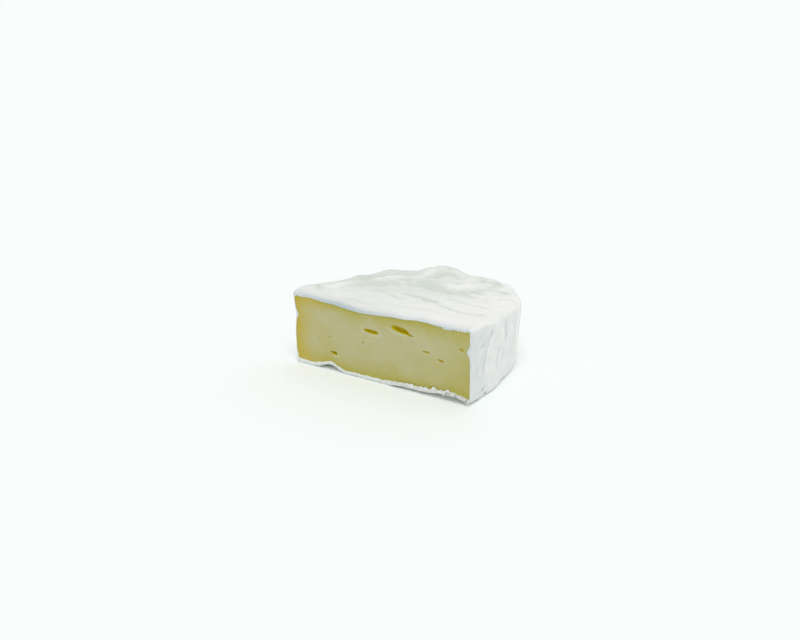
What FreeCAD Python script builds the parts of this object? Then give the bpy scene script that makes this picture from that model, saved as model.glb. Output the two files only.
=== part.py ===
import FreeCAD
import Part
import math
import os

# Half of an oval white-rind cheese, cut straight across its short way.
# X runs along the cut face, Y from the cut face to the round end, Z up from the base.
# The origin is the middle of the underside of the outer box. All sizes are millimetres.

# Outline seen from above
CUT_WIDTH = 105.0        # across the cut face, outside the rind
HALF_LENGTH = 83.0       # from the cut face to the round end
OVAL_POWER = 3.0         # 2 is an ellipse, more is squarer

# Outline seen from the side. Each pair is the value at the cut and the value at the back
THICKNESS = 37.2                # from the base to the level of the top
SHOULDER_RADIUS = (2.6, 6.0)    # rounding where the top turns into the side
HEEL_RADIUS = (1.6, 3.0)        # rounding where the side turns under
SIDE_LEAN = (0.5, 2.2)          # how far the foot stands in from the shoulder
BASE_TRIM = 0.2                 # how much of the rounded underside is pressed flat

# Broad pleats round the side: half waves from one end to the other, and their depth
PLEATS = [
    {"waves": 9, "depth": 0.30},
    {"waves": 14, "depth": -0.25},
    {"waves": 23, "depth": 0.15},
]

# Swells (+) and hollows (-) of the top. Across and back are shares of half the cut width
# and of the half length; the reaches are along X and along Y
TOP_SWELLS = [
    {"across": -0.22, "back": 0.00, "height": -1.5, "reach_x": 14.0, "reach_y": 34.0},
    {"across": 0.46, "back": 0.00, "height": 1.0, "reach_x": 7.0, "reach_y": 15.0},
    {"across": 0.94, "back": 0.06, "height": 1.7, "reach_x": 11.0, "reach_y": 20.0},
    {"across": -0.98, "back": 0.10, "height": 2.8, "reach_x": 9.0, "reach_y": 13.0},
    {"across": -0.86, "back": 0.62, "height": -1.8, "reach_x": 12.0, "reach_y": 18.0},
    {"across": -0.56, "back": 0.92, "height": -2.0, "reach_x": 11.0, "reach_y": 10.0},
    {"across": -0.08, "back": 0.98, "height": 2.3, "reach_x": 11.0, "reach_y": 11.0},
    {"across": 0.55, "back": 0.62, "height": -0.5, "reach_x": 16.0, "reach_y": 14.0},
]

# Where the underside curls up off the table at the cut
BASE_LIFTS = [
    {"across": -0.58, "height": 2.9, "reach_x": 5.8, "reach_y": 7.0},
    {"across": 0.80, "height": 2.8, "reach_x": 9.0, "reach_y": 8.0},
]

# Eyes that the cut has opened. Up is a share of the thickness, and tilt is in degrees
EYES = [
    {"across": 0.255, "up": 0.810, "length": 12.0, "height": 2.5, "depth": 4.5, "tilt": -12.0},
    {"across": -0.092, "up": 0.700, "length": 8.4, "height": 1.7, "depth": 3.2, "tilt": -8.0},
    {"across": -0.522, "up": 0.275, "length": 4.2, "height": 1.8, "depth": 2.4, "tilt": -6.0},
    {"across": 0.515, "up": 0.597, "length": 4.6, "height": 1.0, "depth": 1.6, "tilt": -3.0},
    {"across": 0.668, "up": 0.520, "length": 3.8, "height": 1.3, "depth": 1.8, "tilt": -8.0},
    {"across": -0.185, "up": 0.520, "length": 1.3, "height": 1.0, "depth": 1.0, "tilt": 0.0},
    {"across": -0.580, "up": 0.490, "length": 1.2, "height": 0.9, "depth": 0.9, "tilt": 0.0},
]
EYE_SETBACK = 0.15       # how far each bubble's middle lies in front of the cut

# How finely the skin is laid out
COLUMNS = 60             # steps from the right end of the cut round to the left end
TOP_ROWS = 14
SHOULDER_ROWS = 4
SIDE_ROWS = 6
HEEL_ROWS = 3
BASE_ROWS = 10
CROWDING = 1.6           # how much the rows of the top and base crowd towards the edge
FAN_SHARE = 0.72         # share of the cut width from which the columns fan out
OUTLINE_STEPS = 2000     # steps used to measure the oval's length

HALF_WIDTH = CUT_WIDTH / 2.0


def oval_point(angle):
    """Point of the oval at an angle from the right end of the cut (0) to the left (pi)."""
    c = math.cos(angle)
    s = max(math.sin(angle), 0.0)
    x = math.copysign(abs(c) ** (2.0 / OVAL_POWER), c) * HALF_WIDTH
    y = s ** (2.0 / OVAL_POWER) * HALF_LENGTH
    return x, y


def oval_normal(x, y):
    """Outward direction of the oval at one of its points."""
    nx = math.copysign((abs(x) / HALF_WIDTH) ** (OVAL_POWER - 1.0) / HALF_WIDTH, x)
    ny = (y / HALF_LENGTH) ** (OVAL_POWER - 1.0) / HALF_LENGTH
    size = math.hypot(nx, ny)
    return nx / size, ny / size


def even_rim_points(count):
    """Points along the oval, spaced evenly by length, with both ends on the cut."""
    fine = [oval_point(math.pi * i / OUTLINE_STEPS) for i in range(OUTLINE_STEPS + 1)]
    fine[0] = (HALF_WIDTH, 0.0)
    fine[-1] = (-HALF_WIDTH, 0.0)
    walked = [0.0]
    for a, b in zip(fine, fine[1:]):
        walked.append(walked[-1] + math.hypot(b[0] - a[0], b[1] - a[1]))
    points = []
    k = 0
    for i in range(count + 1):
        target = walked[-1] * i / count
        while k < OUTLINE_STEPS - 1 and walked[k + 1] < target:
            k += 1
        t = (target - walked[k]) / (walked[k + 1] - walked[k])
        a, b = fine[k], fine[k + 1]
        points.append((a[0] + (b[0] - a[0]) * t, a[1] + (b[1] - a[1]) * t))
    return points


def bump(spot, dx, dy):
    """A smooth hump that is 1 at its middle and fades to nothing."""
    return math.exp(-((dx / spot["reach_x"]) ** 2) - (dy / spot["reach_y"]) ** 2)


def top_level(x, y):
    """Height of the top at a place."""
    level = THICKNESS
    for spot in TOP_SWELLS:
        dx = x - spot["across"] * HALF_WIDTH
        dy = y - spot["back"] * HALF_LENGTH
        level += spot["height"] * bump(spot, dx, dy)
    return level


def base_level(x, y):
    """Height of the underside at a place, before it is pressed flat."""
    level = -BASE_TRIM
    for spot in BASE_LIFTS:
        dx = x - spot["across"] * HALF_WIDTH
        level += (spot["height"] + BASE_TRIM) * bump(spot, dx, y)
    return level


def pleat_depth(share):
    """How far the side stands out at a share of the way round. Nothing at the two ends."""
    return sum(p["depth"] * math.sin(math.pi * p["waves"] * share) for p in PLEATS)


def between(pair, share):
    """The value at a share of the way round, from the value at the cut to that at the back."""
    at_cut, at_back = pair
    return at_cut + (at_back - at_cut) * math.sin(math.pi * share)


def column(share, rim):
    """One line of the skin: over the top, round the shoulder, down the side and under."""
    nx, ny = oval_normal(*rim)
    start = FAN_SHARE * HALF_WIDTH * (1.0 - 2.0 * share)
    pleat = pleat_depth(share)
    shoulder = between(SHOULDER_RADIUS, share)
    heel = between(HEEL_RADIUS, share)
    lean = between(SIDE_LEAN, share)

    def inset(distance):
        return rim[0] + nx * (pleat - distance), rim[1] + ny * (pleat - distance)

    points = []
    edge = inset(shoulder)
    for i in range(TOP_ROWS):
        t = 1.0 - (1.0 - i / TOP_ROWS) ** CROWDING
        x = start + (edge[0] - start) * t
        y = edge[1] * t
        points.append(FreeCAD.Vector(x, y, top_level(x, y)))
    high = top_level(*edge) - shoulder
    for i in range(SHOULDER_ROWS + 1):
        turn = 0.5 * math.pi * i / SHOULDER_ROWS
        x, y = inset(shoulder * (1.0 - math.sin(turn)))
        points.append(FreeCAD.Vector(x, y, high + shoulder * math.cos(turn)))
    foot = inset(lean + heel)
    low = base_level(*foot) + heel
    for i in range(1, SIDE_ROWS):
        t = i / SIDE_ROWS
        x, y = inset(lean * t * t)
        points.append(FreeCAD.Vector(x, y, high + (low - high) * t))
    for i in range(HEEL_ROWS + 1):
        turn = 0.5 * math.pi * i / HEEL_ROWS
        x, y = inset(lean + heel * (1.0 - math.cos(turn)))
        points.append(FreeCAD.Vector(x, y, low - heel * math.sin(turn)))
    for i in range(1, BASE_ROWS + 1):
        t = (1.0 - i / BASE_ROWS) ** (1.0 / CROWDING)
        x = start + (foot[0] - start) * t
        y = foot[1] * t
        points.append(FreeCAD.Vector(x, y, base_level(x, y)))
    return points


def whole_body():
    """The skin, closed by the flat cut face. All four edges of the skin lie in the cut."""
    rims = even_rim_points(COLUMNS)
    grid = [column(i / COLUMNS, rim) for i, rim in enumerate(rims)]
    surface = Part.BSplineSurface()
    surface.interpolate(grid)
    skin = surface.toShape()
    cut_face = Part.Face(Part.Wire(Part.__sortEdges__(skin.Edges)))
    solid = Part.Solid(Part.Shell([skin, cut_face]))
    if solid.Volume < 0:
        solid.reverse()
    return solid


def press_flat(body):
    """The body with its underside trimmed level at Z = 0."""
    room = CUT_WIDTH + HALF_LENGTH
    above = Part.makeBox(2 * room, 2 * room, room, FreeCAD.Vector(-room, -room, 0.0))
    return body.common(above)


def eye(spot):
    """A flattened bubble with its poles at its left and right ends, just outside the cut."""
    centre = FreeCAD.Vector(0, 0, 0)
    stretch = FreeCAD.Matrix()
    stretch.scale(spot["length"] / 2.0, spot["depth"], spot["height"] / 2.0)
    bubble = Part.makeSphere(1.0, centre, FreeCAD.Vector(1, 0, 0)).transformGeometry(stretch)
    bubble.rotate(centre, FreeCAD.Vector(0, 1, 0), -spot["tilt"])
    across = spot["across"] * HALF_WIDTH
    bubble.translate(FreeCAD.Vector(across, -EYE_SETBACK, spot["up"] * THICKNESS))
    return bubble


def camembert_half():
    """The finished half, moved along the table until the origin is under its middle."""
    body = press_flat(whole_body())
    for spot in EYES:
        body = body.cut(eye(spot))
    solid = body.Solids[0]
    box = solid.optimalBoundingBox(False, False)
    solid.translate(FreeCAD.Vector(-box.Center.x, -box.Center.y, 0.0))
    return solid


os.makedirs("parts", exist_ok=True)
half = camembert_half()
half.exportStep("parts/camembert_half.step")
outer = half.optimalBoundingBox(False, False)
print("valid", half.isValid(), "solids", len(half.Solids), "faces", len(half.Faces))
print("size mm", round(outer.XLength, 2), round(outer.YLength, 2), round(outer.ZLength, 2))
print("volume ml", round(half.Volume / 1000.0, 1))
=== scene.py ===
import math
import bpy
import numpy as np
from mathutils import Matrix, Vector


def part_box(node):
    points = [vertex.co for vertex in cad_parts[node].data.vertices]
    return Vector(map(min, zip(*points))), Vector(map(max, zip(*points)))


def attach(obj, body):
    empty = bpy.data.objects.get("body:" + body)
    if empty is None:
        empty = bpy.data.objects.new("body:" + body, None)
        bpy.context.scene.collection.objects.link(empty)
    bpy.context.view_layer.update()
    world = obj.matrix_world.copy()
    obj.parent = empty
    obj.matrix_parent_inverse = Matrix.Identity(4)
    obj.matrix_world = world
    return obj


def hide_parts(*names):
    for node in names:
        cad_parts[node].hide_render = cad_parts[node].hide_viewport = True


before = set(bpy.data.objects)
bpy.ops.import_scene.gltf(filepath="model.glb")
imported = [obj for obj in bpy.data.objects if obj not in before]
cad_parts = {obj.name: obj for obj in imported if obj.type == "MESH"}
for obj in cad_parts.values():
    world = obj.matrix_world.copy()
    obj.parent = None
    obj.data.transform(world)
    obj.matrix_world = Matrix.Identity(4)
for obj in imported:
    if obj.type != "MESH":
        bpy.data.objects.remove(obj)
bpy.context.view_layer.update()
mm = 0.001

# half of an oval soft cheese, on its base with the cut to the front: a rind shell, the paste
# inside it, and the torn bits of rind along the foot of the cut
print("frame loaded")


def hump(x, centre, reach):
    # 1 at the centre, fading to nothing: e to the minus (distance / reach) squared
    return np.exp(-((x - centre) / reach) ** 2)


def easeStep(low, high, x):
    # 0 below low, 1 above high, and between them 3 t squared less 2 t cubed
    t = np.clip((x - low) / (high - low), 0, 1)
    return t * t * (3 - 2 * t)


def rounding(distance, radius):
    # how much a quarter circle of that radius falls away at a distance from its side: the
    # radius less the root of radius squared minus (radius - distance) squared
    d = np.clip(distance, 0.0, radius)
    return radius - np.sqrt(np.maximum(radius ** 2 - (radius - d) ** 2, 0.0))


def ripples(x, y, seed, waveLengths, heading=0.0, spread=180.0, count=24):
    # a soft uneven field, mostly in -1..1: the sum of many plane sine waves over 1.6 times the
    # root of half their number. Their lengths lie between the two given, and their directions
    # within a span of spread degrees about the heading
    rng = np.random.default_rng(seed)
    total = np.zeros(np.broadcast(x, y).shape)
    for wave in range(count):
        length = waveLengths[0] * (waveLengths[1] / waveLengths[0]) ** rng.random()
        angle = math.radians(heading + spread * (rng.random() - 0.5))
        phase = rng.random() * 2 * math.pi
        distance = x * math.cos(angle) + y * math.sin(angle)
        total += np.sin(2 * math.pi * distance / length + phase)
    return total / (1.6 * math.sqrt(count / 2.0))


def outlineOf(index):
    # the vertex numbers round the edge of a grid, once each
    return np.concatenate([index[:, 0], index[-1, 1:], index[-2::-1, -1], index[0, -2:0:-1]])


def closeRound(band):
    # repeats the first column, so that a band's last column joins its first
    return np.concatenate([band, band[:, :1]], axis=1)


def gridFaces(index):
    # one four-sided face between each pair of neighbouring rows and columns of vertex numbers
    a, b = index[:-1, :-1], index[1:, :-1]
    c, d = index[1:, 1:], index[:-1, 1:]
    return np.stack([a, b, c, d], axis=-1).reshape(-1, 4)


def padded(values, count, rest=0.0):
    # the values in one row, then the rest up to the count
    flat = np.ravel(values)
    return np.concatenate([flat, np.full(count - len(flat), rest)])


def buildPiece(name, points, faces, material, layers):
    # points in millimetres, layers one value a point for the material to read. Its volume is
    # the sum of its corners' triple products; below zero it is inside out, and is flipped
    p = points[faces]
    volume = np.einsum("ij,ij->i", p[:, 0], np.cross(p[:, 1], p[:, 2])).sum()
    volume += np.einsum("ij,ij->i", p[:, 0], np.cross(p[:, 2], p[:, 3])).sum()
    if volume < 0.0:
        faces = faces[:, ::-1]
    mesh = bpy.data.meshes.new(name)
    mesh.from_pydata((points * mm).tolist(), [], faces.tolist())
    for key, values in layers.items():
        layer = mesh.attributes.new(key, "FLOAT", "POINT")
        layer.data.foreach_set("value", np.ascontiguousarray(values, np.float32))
    mesh.polygons.foreach_set("use_smooth", np.ones(len(mesh.polygons), bool))
    mesh.materials.append(material)
    mesh.update()
    piece = bpy.data.objects.new(name, mesh)
    bpy.context.scene.collection.objects.link(piece)
    return piece


# the form of the half cheese, in millimetres: x runs along the cut from its middle, y back
# from the cut, z up from the base
cheese = {
    "cutWidth": 105.0,
    "halfLength": 83.0,
    "ovalPower": 3.0,
    "thickness": 37.2,
    "shoulder": (2.6, 6),  # rounding at the cut, and at the back
    "heel": (1.6, 3),
    "lean": (0.5, 2.2),  # how far the foot stands in
    "fanShare": 0.72,  # share of the cut that the skin's columns fan out from
    "pleats": [(9, 0.3), (14, -0.25), (23, 0.15)],  # half waves round the side, depth
    # swells and hollows of the top: across, back, height, reach in x, reach in y
    "swells": [
        (-0.22, 0, -1.5, 14, 34),
        (0.46, 0, 1, 7, 15),
        (0.94, 0.06, 1.7, 11, 20),
        (-0.98, 0.1, 2.8, 9, 13),
        (-0.86, 0.62, -1.8, 12, 18),
        (-0.56, 0.92, -2, 11, 10),
        (-0.08, 0.98, 2.3, 11, 11),
        (0.55, 0.62, -0.5, 16, 14),
    ],
    # where the underside curls up at the cut: across, height, reach in x, reach in y
    "lifts": [(-0.58, 2.9, 5.8, 7), (0.8, 2.8, 9, 8)],
}

halfWidth = cheese["cutWidth"] / 2.0


def topLevel(x, y):
    # the thickness, plus each swell as a hump
    level = np.full(np.broadcast(x, y).shape, cheese["thickness"])
    for across, back, height, reachX, reachY in cheese["swells"]:
        swell = hump(x, across * halfWidth, reachX) * hump(y, back * cheese["halfLength"], reachY)
        level = level + height * swell
    return level


def baseLevel(x, y):
    # level with the table, plus each lift as a hump
    level = np.zeros(np.broadcast(x, y).shape)
    for across, height, reachX, reachY in cheese["lifts"]:
        level = level + height * hump(x, across * halfWidth, reachX) * hump(y, 0.0, reachY)
    return level


def ovalRim(share):
    # points evenly spaced by length round a superellipse, from the right end of the cut
    # (share 0) to the left (share 1), with the outward direction at each and the whole length.
    # its x and y are the cosine and sine to the power 2 over the oval's power, scaled
    power = cheese["ovalPower"]
    angle = np.linspace(0.0, math.pi, 4001)
    c, s = np.cos(angle), np.clip(np.sin(angle), 0, 1)
    x = np.sign(c) * np.abs(c) ** (2.0 / power) * halfWidth
    y = s ** (2.0 / power) * cheese["halfLength"]
    x[[0, -1]] = halfWidth, -halfWidth
    y[[0, -1]] = 0.0
    walked = np.concatenate([[0.0], np.cumsum(np.hypot(np.diff(x), np.diff(y)))])
    rimX = np.interp(share * walked[-1], walked, x)
    rimY = np.interp(share * walked[-1], walked, y)
    # square to the oval: each side's share to the power less one, over its half width
    nx = np.sign(rimX) * (np.abs(rimX) / halfWidth) ** (power - 1.0) / halfWidth
    ny = (rimY / cheese["halfLength"]) ** (power - 1.0) / cheese["halfLength"]
    size = np.hypot(nx, ny)
    return rimX, rimY, nx / size, ny / size, walked[-1]


rimLength = ovalRim(np.zeros(1))[4]


def between(pair, share):
    # the first value at the cut, the second at the back, a half sine between
    return pair[0] + (pair[1] - pair[0]) * np.sin(math.pi * share)


# rows of the skin, from the top at the cut, over the shoulder and down, to the base at the cut
toBack = 77.0  # mm from the cut
nearCut = np.array([0.0, 0.12, 0.28, 0.48, 0.72, 1.0, 1.4])
rowsTop = np.concatenate([nearCut / toBack, np.linspace(2.2 / toBack, 1.0, 76)[:-1]])
rowsBase = np.concatenate([np.linspace(1.0, 2.6 / toBack, 22)[1:], nearCut[::-1] / toBack])
rowsShoulder = np.linspace(0, 1, 10)
rowsSide = np.linspace(0, 1, 34)[1:-1]
rowsHeel = np.linspace(0, 1, 7)


def skinGrid(share, wallSide, wallTop, wallBase):
    # one column for each share of the rim: across the top in a straight line from the cut to
    # the shoulder, a quarter round, the side, leaning in as the square of the way down, a
    # quarter round, and back under. wallSide is a number of mm; wallTop and wallBase are
    # functions of x and y
    rimX, rimY, nx, ny = (values[:, None] for values in ovalRim(share)[:4])
    u = share[:, None]
    pleat = sum(depth * np.sin(math.pi * waves * u) for waves, depth in cheese["pleats"])
    shoulder = np.maximum(between(cheese["shoulder"], u) - wallSide, 1.2)
    heel = np.maximum(between(cheese["heel"], u) - wallSide, 1.0)
    lean = between(cheese["lean"], u)
    start = cheese["fanShare"] * halfWidth * (1 - 2 * u)

    def inset(distance):
        return rimX + nx * (pleat - wallSide - distance), rimY + ny * (pleat - wallSide - distance)

    edgeX, edgeY = inset(shoulder)
    x1 = start + (edgeX - start) * rowsTop
    y1 = edgeY * rowsTop
    z1 = topLevel(x1, y1) - wallTop(x1, y1)
    high = topLevel(edgeX, edgeY) - wallTop(edgeX, edgeY) - shoulder
    turn = 0.5 * math.pi * rowsShoulder
    x2, y2 = inset(shoulder * (1 - np.sin(turn)))
    z2 = high + shoulder * np.cos(turn)
    footX, footY = inset(lean + heel)
    low = baseLevel(footX, footY) + wallBase(footX, footY) + heel
    x3, y3 = inset(lean * rowsSide ** 2)
    z3 = high + (low - high) * rowsSide
    turn = 0.5 * math.pi * rowsHeel
    x4, y4 = inset(lean + heel * (1 - np.cos(turn)))
    z4 = low - heel * np.sin(turn)
    x5 = start + (footX - start) * rowsBase
    y5 = footY * rowsBase
    z5 = baseLevel(x5, y5) + wallBase(x5, y5)
    sides = ((x1, x2, x3, x4, x5), (y1, y2, y3, y4, y5), (z1, z2, z3, z4, z5))
    return np.stack([np.concatenate(parts, axis=1) for parts in sides], axis=-1)


def unit(vectors):
    return vectors / np.maximum(np.linalg.norm(vectors, axis=-1, keepdims=True), 1e-9)


def skinNormals(points):
    # the cross product of the two grid directions; on the cut itself it lies in the cut
    du = np.gradient(points, axis=0)
    dv = np.gradient(points, axis=1)
    n = unit(np.cross(dv, du))
    n[..., 1] *= easeStep(0, 3, points[..., 1])
    # where the columns start to fan out the two directions run alike, so it is eased to plain
    # up or down there
    fanFrom = cheese["fanShare"] * halfWidth
    plain = hump(np.abs(points[..., 0]), fanFrom, 2.5) * hump(points[..., 1], 0, 1.6)
    plain = np.clip(1.4 * plain, 0, 1)[..., None]
    upDown = np.zeros(n.shape)
    upDown[..., 2] = np.where(points[..., 2] > 0.5 * cheese["thickness"], 1.0, -1.0)
    return unit(n * (1 - plain) + upDown * plain)


def columnShares(count):
    # fine near both ends of the cut, even between
    near = nearCut / rimLength
    even = np.linspace(2.3 / rimLength, 1 - 2.3 / rimLength, count)
    return np.concatenate([near, even, 1 - near[::-1]])


def none(x, y):
    # no wall at all
    return 0 * x


# how far the plain skin is stretched and moved, so that its box becomes the CAD part's
plainSkin = skinGrid(columnShares(240), 0.0, none, none).reshape(-1, 3)
skinLow, skinHigh = plainSkin.min(axis=0), plainSkin.max(axis=0)
boxLow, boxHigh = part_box("camembert_half")
boxLow, boxHigh = np.array(boxLow) / mm, np.array(boxHigh) / mm
fitScale = (boxHigh - boxLow) / (skinHigh - skinLow)
fitShift = boxLow - skinLow * fitScale


def toFrame(points):
    # from the cheese's own place to the frame's
    return points * fitScale + fitShift


print("form fitted to the CAD box, stretch", np.round(fitScale, 4).tolist())


def furrow(x, y, path, width):
    # 1 on a path of straight stretches, fading to either side as e to the minus
    # (distance / width) squared, and nearly out over the last fifth at each end
    near = np.full(np.broadcast(x, y).shape, 1e9)
    along = np.zeros(near.shape)
    for number, ((ax, ay), (bx, by)) in enumerate(zip(path, path[1:])):
        lengthSquared = (bx - ax) ** 2 + (by - ay) ** 2
        t = np.clip(((x - ax) * (bx - ax) + (y - ay) * (by - ay)) / lengthSquared, 0, 1)
        away = np.hypot(x - ax - t * (bx - ax), y - ay - t * (by - ay))
        along = np.where(away < near, (number + t) / (len(path) - 1), along)
        near = np.minimum(near, away)
    start = 0.15 + 0.85 * easeStep(0, 0.22, along)
    end = 0.15 + 0.85 * (1 - easeStep(0.78, 1, along))
    return np.exp(-(near / width) ** 2) * (start * end)


rind = {
    "topWall": 1.22,
    "cornerWall": 1.5,  # how much thicker it is at the left corner of the cut
    "sideWall": 0.5,
    "backWall": 2.4,  # how much thicker it is out of sight, behind the cut
    "baseWall": 2.15,
    "footLift": 1.3,
    "edgeRoll": (0.3, 0.85),  # rounding of the outer edge at the cut, on the sides and on top
    "lipBulge": 0.16,  # how far the cut edge stands out of the cut
    "lipTuck": 0.35,  # how far it dips into the paste
    "grainDepth": 0.13,
    "swellDepth": 0.22,
    "sideGrainDepth": 0.12,
    # folds of the top: path across and back, height, width, and the paint there: painted shade, grey,
    # where above zero, and painted highlight, whiter, where below
    "topFolds": [
        ([(-10.8, 33), (-4.1, 32.3), (3, 30.6), (9.2, 29.1), (12.8, 28.8), (19.5, 28.2)],
         -0.65, 1, 1),
        ([(6, 29.9), (11, 28.9), (15.5, 28.7)], -0.35, 1.9, 0.9),
        ([(13, 27.2), (24.4, 23.9), (31.9, 22.1), (40.9, 21.7), (50, 21.9)], -0.48, 1.2, 0.75),
        ([(-26, 27.7), (-21.2, 29.2), (-14.1, 29.1)], -0.25, 1.2, 0.5),
        ([(-14.1, 29.1), (-8, 26.7), (-1.1, 24.2)], -0.25, 1.2, 0.4),
        ([(19.7, 57.9), (27, 61.4), (33.5, 61.9), (41.1, 59.9)], -0.35, 1.6, 0.6),
        ([(37.1, 49.5), (40.3, 52.5), (44.7, 51.7)], -0.3, 1.3, 0.5),
        ([(-30.2, 7), (-19.3, 10.2), (-9.4, 11.2)], -0.12, 1, 0.3),
        ([(-2, 16), (16, 15.2), (33, 13)], -0.12, 1, 0.25),
        ([(14, 36), (30, 35), (45, 33)], -0.2, 1.5, 0.35),
        ([(-51, 16), (-46.5, 13.8), (-43, 9.5)], -1.2, 2, 0.5),
        ([(-43.9, 14.2), (-42.2, 20.4), (-42.3, 31.8), (-42.4, 36.9)], 0.75, 2, -0.5),
        ([(-35.6, 44.4), (-30.4, 46.2), (-27.6, 50.1), (-24.1, 54.5), (-20.8, 57.8)], 1, 2.2, -0.7),
        ([(-33.6, 27.5), (-32.4, 34.7), (-26.7, 38.3), (-21.1, 40.6)], -0.65, 3.5, 0.55),
        ([(-40.4, 41.8), (-40.3, 49.6), (-34.7, 52.3)], -0.45, 2.5, 0.5),
        ([(-17.1, 55), (-17.5, 62.6), (-16.7, 69.7), (-11.7, 73.5)], 0.5, 4, -0.5),
        ([(-9.5, 61.3), (-5.9, 67), (-2, 70.8), (3, 72.8)], -0.5, 3, 0.6),
        ([(1.1, 55.8), (7.4, 54.1), (12.6, 55.6), (13.8, 60.7), (15.1, 65.8)], 1, 2, -0.8),
        ([(-4, 47), (6, 46.5), (14.4, 46.8), (20.2, 52.7), (25.2, 61.6)], -0.4, 3, 0.5),
        ([(13.3, 70.3), (17, 72.9), (23.8, 71.6), (32.7, 66.2)], -0.4, 2.4, 0.6),
        ([(18.3, 73.8), (22, 73.3)], 0.6, 1.6, -0.5),
        ([(-10.5, 49), (-4.1, 50.1), (2.8, 50.2)], -0.3, 4, 0.4),
    ],
    # rises and dips along the back rim of the top: across, back, height, reach
    "rimRises": [
        (-24, 66, -2.8, 8),
        (-38, 56, -1, 5),
        (-45, 46, 0.9, 5),
        (-13, 77, 1.6, 6.5),
        (-22, 76, 1.2, 4.5),
        (4, 80, -1.6, 6.5),
        (31, 72, 1.2, 6),
    ],
    # folds of the side: path round the rim from the right end of the cut and up, height,
    # width, and the paint there: painted shade where above zero, painted highlight where below
    "sideFolds": [
        ([(23.4, 38), (27.8, 31.5), (32.5, 23.5)], 0.45, 0.8, -0.5),
        ([(23.4, 38), (21.8, 34), (19.2, 29)], 0.28, 0.9, -0.35),
        ([(45, 29), (42, 22.2), (37.5, 16.4)], 0.42, 0.9, -0.5),
        ([(35.2, 34.6), (36.5, 28.2), (38, 20.5)], -0.45, 2.2, 0.5),
        ([(19, 30), (16, 24.7), (14.1, 18.3), (13.4, 8)], 0.42, 1, -0.45),
        ([(18.4, 33.2), (17, 28.8)], -0.75, 1.1, 1),
        ([(17, 31), (14.2, 24.5), (12.3, 18), (11.2, 12)], -0.4, 0.7, 0.45),
        ([(11.3, 27.9), (8.6, 27)], -0.32, 0.9, 0.5),
        ([(9.7, 26.5), (7.6, 24.3)], 0.22, 0.8, -0.3),
        ([(28.4, 22.5), (26.1, 17.8), (25.1, 11)], -0.28, 0.8, 0.35),
        ([(31.2, 21.5), (34.6, 13)], -0.28, 0.9, 0.35),
        ([(50.1, 32.5), (48.5, 25), (49.5, 12)], -0.38, 1, 0.45),
        ([(5.2, 19.4), (4.4, 12)], -0.14, 0.9, 0.2),
    ],
    "moreFolds": 40,  # like these, round the rest of the side
    "foldsFrom": 54,  # where round the rim those start and end
    "foldsTo": 240,
    # patches where the top is painted whiter, with less grey and less painted shade: across, back, how
    # much, reach in x, reach in y
    "whiterPatches": [
        (36, 2, 0.24, 24, 14),
        (42, 56, 0.45, 10, 14),
        (26, 66, 0.28, 16, 12),
        (4, 73, 0.28, 14, 9),
    ],
    # where the rind bites into the paste: right end 0 or left end 1, up, depth, reach
    "notches": [(0, 26.7, 1.8, 2), (1, 26.4, 1.3, 1.8), (1, 4, 0.9, 2.2)],
    "rightCorner": 1.1,  # how much thicker the upper right wall is at the cut
    "notchRun": 0.016,  # how soon notches fade, as a share of the way round
    # dark specks on the side: way round, up, reach
    "specks": [(11.9, 4.8, 0.8), (14.6, 1.7, 0.9)],
    "columns": 262,
    "lipRows": 9,
}


def restOfSide():
    # slanting ridges and creases of uneven length, one after another round the side; the ridges get
    # painted highlight and the creases painted shade
    rng = np.random.default_rng(71)
    folds = []
    count = rind["moreFolds"]
    share = (np.arange(count) + rng.random(count)) / count
    for start in rind["foldsFrom"] + (rind["foldsTo"] - rind["foldsFrom"]) * share:
        high, low = rng.uniform(24.0, 37.0), rng.uniform(2.0, 17.0)
        slant = rng.uniform(-5.0, 5.0) * (high - low) / 30.0
        middle = (start + 0.5 * slant + rng.uniform(-1.2, 1.2), 0.5 * (high + low))
        path = [(start, high), middle, (start + slant, low)]
        if rng.random() < 0.45:
            folds.append((path, rng.uniform(0.22, 0.48), rng.uniform(0.7, 1.1), -0.4))
        else:
            folds.append((path, -rng.uniform(0.22, 0.5), rng.uniform(0.6, 1.5), rng.uniform(0.25, 0.6)))
    return folds


def leanLeft(points):
    # near the cut's left end the top corner stands out and the wall under it falls in: each is
    # a hump over the height, eased away to the right and to the back
    x, y, z = points[..., 0], points[..., 1], points[..., 2]
    out = 1.0 * hump(z, 38.5, 4.5) - 0.75 * hump(z, 25.5, 5) + 0.3 * hump(z, 1, 3)
    moved = points.copy()
    moved[..., 0] = x - out * (1 - easeStep(-52, -34, x)) * (1 - easeStep(2, 16, y))
    return moved


def rindTop(x, y):
    # wall of the top: even, thicker at the left corner, and with ripples that are rougher to
    # the right; all but the even part fade behind the cut
    corner = rind["cornerWall"] * (1 - easeStep(-49, -40, x))
    torn = 0.1 + 0.28 * easeStep(28, 42, x)
    wobble = 0.14 * ripples(x, 0 * y, 5, (3, 11), count=10)
    wobble = wobble + torn * ripples(x, 0 * y, 7, (1.1, 3.5), count=12)
    return rind["topWall"] + corner * hump(y, 0, 9) + wobble * hump(y, 0, 5)


def footLift(x, y):
    # the rind's own lower edge curls up right of the middle of the cut: an eased plateau
    plateau = easeStep(2, 15, x) * (1 - easeStep(32, 42, x))
    return rind["footLift"] * plateau * hump(y, 0, 5)


def rindBase(x, y):
    # wall of the base: thickest right of the middle, with coarser ripples
    torn = 0.08 + 0.16 * easeStep(2, 16, x)
    wobble = 0.3 * ripples(x, 0 * y, 6, (2.5, 14), count=10)
    wobble = wobble + torn * ripples(x, 0 * y, 8, (1, 3), count=12)
    thick = rind["baseWall"] + 0.6 * hump(x, 14, 22) + 0.7 * footLift(x, y)
    return thick + wobble * hump(y, 0, 6)


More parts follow.
